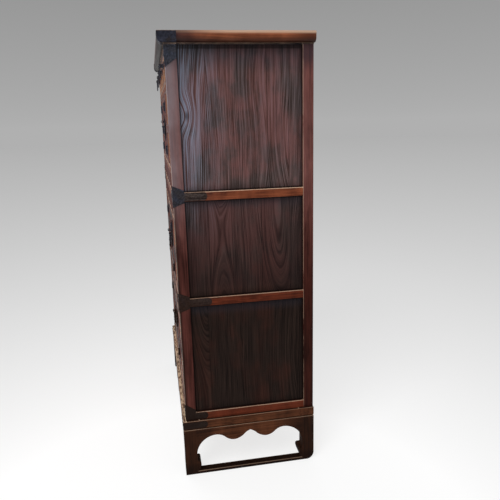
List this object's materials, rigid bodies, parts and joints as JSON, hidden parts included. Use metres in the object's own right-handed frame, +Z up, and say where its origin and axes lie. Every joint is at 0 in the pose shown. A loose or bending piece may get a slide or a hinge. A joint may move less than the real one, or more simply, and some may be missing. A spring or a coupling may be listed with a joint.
{
  "type": "clothes chest",
  "caption": "Free-standing clothes chest: stacked compartments with pairs of panelled doors, a row of small drawers and iron fittings, on a low stand with scalloped aprons.",
  "frame": {"origin": "on the floor, under the middle of the box round the whole chest", "axes": "+X to the right of someone who faces the doors, +Y from the doors to the back, +Z up"},
  "size_m": [1.0264, 0.5202, 1.6],
  "materials": {
    "frame_wood": "oiled, worn satin",
    "board_wood": "oiled satin",
    "panel_wood": "dark brushed grain, waxed",
    "burl_wood": "polished burl veneer",
    "stand_wood": "dark stained, worn",
    "inner_wood": "plain planed board",
    "iron": "dark forged iron"
  },
  "bodies": {
    "cabinet": {"top_board": "board_wood", "neck_frame": "board_wood", "corner_posts": "frame_wood", "side_rails": "frame_wood", "side_panels": "panel_wood", "front_rails": "frame_wood", "front_stiles": "frame_wood", "front_muntins": "frame_wood", "front_panels": "burl_wood", "back_rails": "inner_wood", "back_panels": "inner_wood", "tier_floors": "inner_wood", "drawer_deck": "inner_wood", "stop_strips": "inner_wood", "stand_frame": "stand_wood", "stand_legs": "stand_wood", "stand_aprons": "stand_wood", "stand_stretchers": "stand_wood", "corner_straps": "iron", "hinge_leaves": "iron"},
    "lower_left_door": {"lower_left_door_frame": "frame_wood", "lower_left_door_panel": "burl_wood", "lower_left_door_fittings": "iron"},
    "lower_left_door_pull_ring": {"lower_left_door_ring": "iron"},
    "lower_right_door": {"lower_right_door_frame": "frame_wood", "lower_right_door_panel": "burl_wood", "lower_right_door_fittings": "iron"},
    "lower_right_door_pull_ring": {"lower_right_door_ring": "iron"},
    "middle_left_door": {"middle_left_door_frame": "frame_wood", "middle_left_door_panel": "burl_wood", "middle_left_door_fittings": "iron"},
    "middle_left_door_pull_ring": {"middle_left_door_ring": "iron"},
    "middle_right_door": {"middle_right_door_frame": "frame_wood", "middle_right_door_panel": "burl_wood", "middle_right_door_fittings": "iron"},
    "middle_right_door_pull_ring": {"middle_right_door_ring": "iron"},
    "upper_left_door": {"upper_left_door_frame": "frame_wood", "upper_left_door_panel": "burl_wood", "upper_left_door_fittings": "iron"},
    "upper_left_door_pull_ring": {"upper_left_door_ring": "iron"},
    "upper_right_door": {"upper_right_door_frame": "frame_wood", "upper_right_door_panel": "burl_wood", "upper_right_door_fittings": "iron"},
    "upper_right_door_pull_ring": {"upper_right_door_ring": "iron"},
    "drawer_1": {"drawer_1_front": "burl_wood", "drawer_1_box": "inner_wood", "drawer_1_handle_posts": "iron"},
    "drawer_1_pull": {"drawer_1_bail": "iron"},
    "drawer_2": {"drawer_2_front": "burl_wood", "drawer_2_box": "inner_wood", "drawer_2_handle_posts": "iron"},
    "drawer_2_pull": {"drawer_2_bail": "iron"},
    "drawer_3": {"drawer_3_front": "burl_wood", "drawer_3_box": "inner_wood", "drawer_3_handle_posts": "iron"},
    "drawer_3_pull": {"drawer_3_bail": "iron"},
    "drawer_4": {"drawer_4_front": "burl_wood", "drawer_4_box": "inner_wood", "drawer_4_handle_posts": "iron"},
    "drawer_4_pull": {"drawer_4_bail": "iron"}
  },
  "joints": [
    {"name": "lower_left_door_hinge", "type": "hinge", "parent": "cabinet", "child": "lower_left_door", "pos_m": [-0.22025, -0.2414, 0.466], "axis": [0, 0, -1], "range_deg": [0, 170]},
    {"name": "lower_left_door_ring_swing", "type": "hinge", "parent": "lower_left_door", "child": "lower_left_door_pull_ring", "pos_m": [-0.025, -0.2446, 0.472], "axis": [-1, 0, 0], "range_deg": [0, 90]},
    {"name": "lower_right_door_hinge", "type": "hinge", "parent": "cabinet", "child": "lower_right_door", "pos_m": [0.22025, -0.2414, 0.466], "axis": [0, 0, 1], "range_deg": [0, 170]},
    {"name": "lower_right_door_ring_swing", "type": "hinge", "parent": "lower_right_door", "child": "lower_right_door_pull_ring", "pos_m": [0.025, -0.2446, 0.472], "axis": [-1, 0, 0], "range_deg": [0, 90]},
    {"name": "middle_left_door_hinge", "type": "hinge", "parent": "cabinet", "child": "middle_left_door", "pos_m": [-0.22025, -0.2414, 0.839], "axis": [0, 0, -1], "range_deg": [0, 170]},
    {"name": "middle_left_door_ring_swing", "type": "hinge", "parent": "middle_left_door", "child": "middle_left_door_pull_ring", "pos_m": [-0.025, -0.2446, 0.845], "axis": [-1, 0, 0], "range_deg": [0, 90]},
    {"name": "middle_right_door_hinge", "type": "hinge", "parent": "cabinet", "child": "middle_right_door", "pos_m": [0.22025, -0.2414, 0.839], "axis": [0, 0, 1], "range_deg": [0, 170]},
    {"name": "middle_right_door_ring_swing", "type": "hinge", "parent": "middle_right_door", "child": "middle_right_door_pull_ring", "pos_m": [0.025, -0.2446, 0.845], "axis": [-1, 0, 0], "range_deg": [0, 90]},
    {"name": "upper_left_door_hinge", "type": "hinge", "parent": "cabinet", "child": "upper_left_door", "pos_m": [-0.22025, -0.2414, 1.2975], "axis": [0, 0, -1], "range_deg": [0, 170]},
    {"name": "upper_left_door_ring_swing", "type": "hinge", "parent": "upper_left_door", "child": "upper_left_door_pull_ring", "pos_m": [-0.025, -0.2446, 1.3035], "axis": [-1, 0, 0], "range_deg": [0, 90]},
    {"name": "upper_right_door_hinge", "type": "hinge", "parent": "cabinet", "child": "upper_right_door", "pos_m": [0.22025, -0.2414, 1.2975], "axis": [0, 0, 1], "range_deg": [0, 170]},
    {"name": "upper_right_door_ring_swing", "type": "hinge", "parent": "upper_right_door", "child": "upper_right_door_pull_ring", "pos_m": [0.025, -0.2446, 1.3035], "axis": [-1, 0, 0], "range_deg": [0, 90]},
    {"name": "drawer_1_slide", "type": "slide", "parent": "cabinet", "child": "drawer_1", "axis": [0, -1, 0], "range_m": [0, 0.3]},
    {"name": "drawer_1_bail_swing", "type": "hinge", "parent": "drawer_1", "child": "drawer_1_pull", "pos_m": [-0.3495, -0.2514, 1.509], "axis": [-1, 0, 0], "range_deg": [0, 90]},
    {"name": "drawer_2_slide", "type": "slide", "parent": "cabinet", "child": "drawer_2", "axis": [0, -1, 0], "range_m": [0, 0.3]},
    {"name": "drawer_2_bail_swing", "type": "hinge", "parent": "drawer_2", "child": "drawer_2_pull", "pos_m": [-0.1165, -0.2514, 1.509], "axis": [-1, 0, 0], "range_deg": [0, 90]},
    {"name": "drawer_3_slide", "type": "slide", "parent": "cabinet", "child": "drawer_3", "axis": [0, -1, 0], "range_m": [0, 0.3]},
    {"name": "drawer_3_bail_swing", "type": "hinge", "parent": "drawer_3", "child": "drawer_3_pull", "pos_m": [0.1165, -0.2514, 1.509], "axis": [-1, 0, 0], "range_deg": [0, 90]},
    {"name": "drawer_4_slide", "type": "slide", "parent": "cabinet", "child": "drawer_4", "axis": [0, -1, 0], "range_m": [0, 0.3]},
    {"name": "drawer_4_bail_swing", "type": "hinge", "parent": "drawer_4", "child": "drawer_4_pull", "pos_m": [0.3495, -0.2514, 1.509], "axis": [-1, 0, 0], "range_deg": [0, 90]}
  ]
}
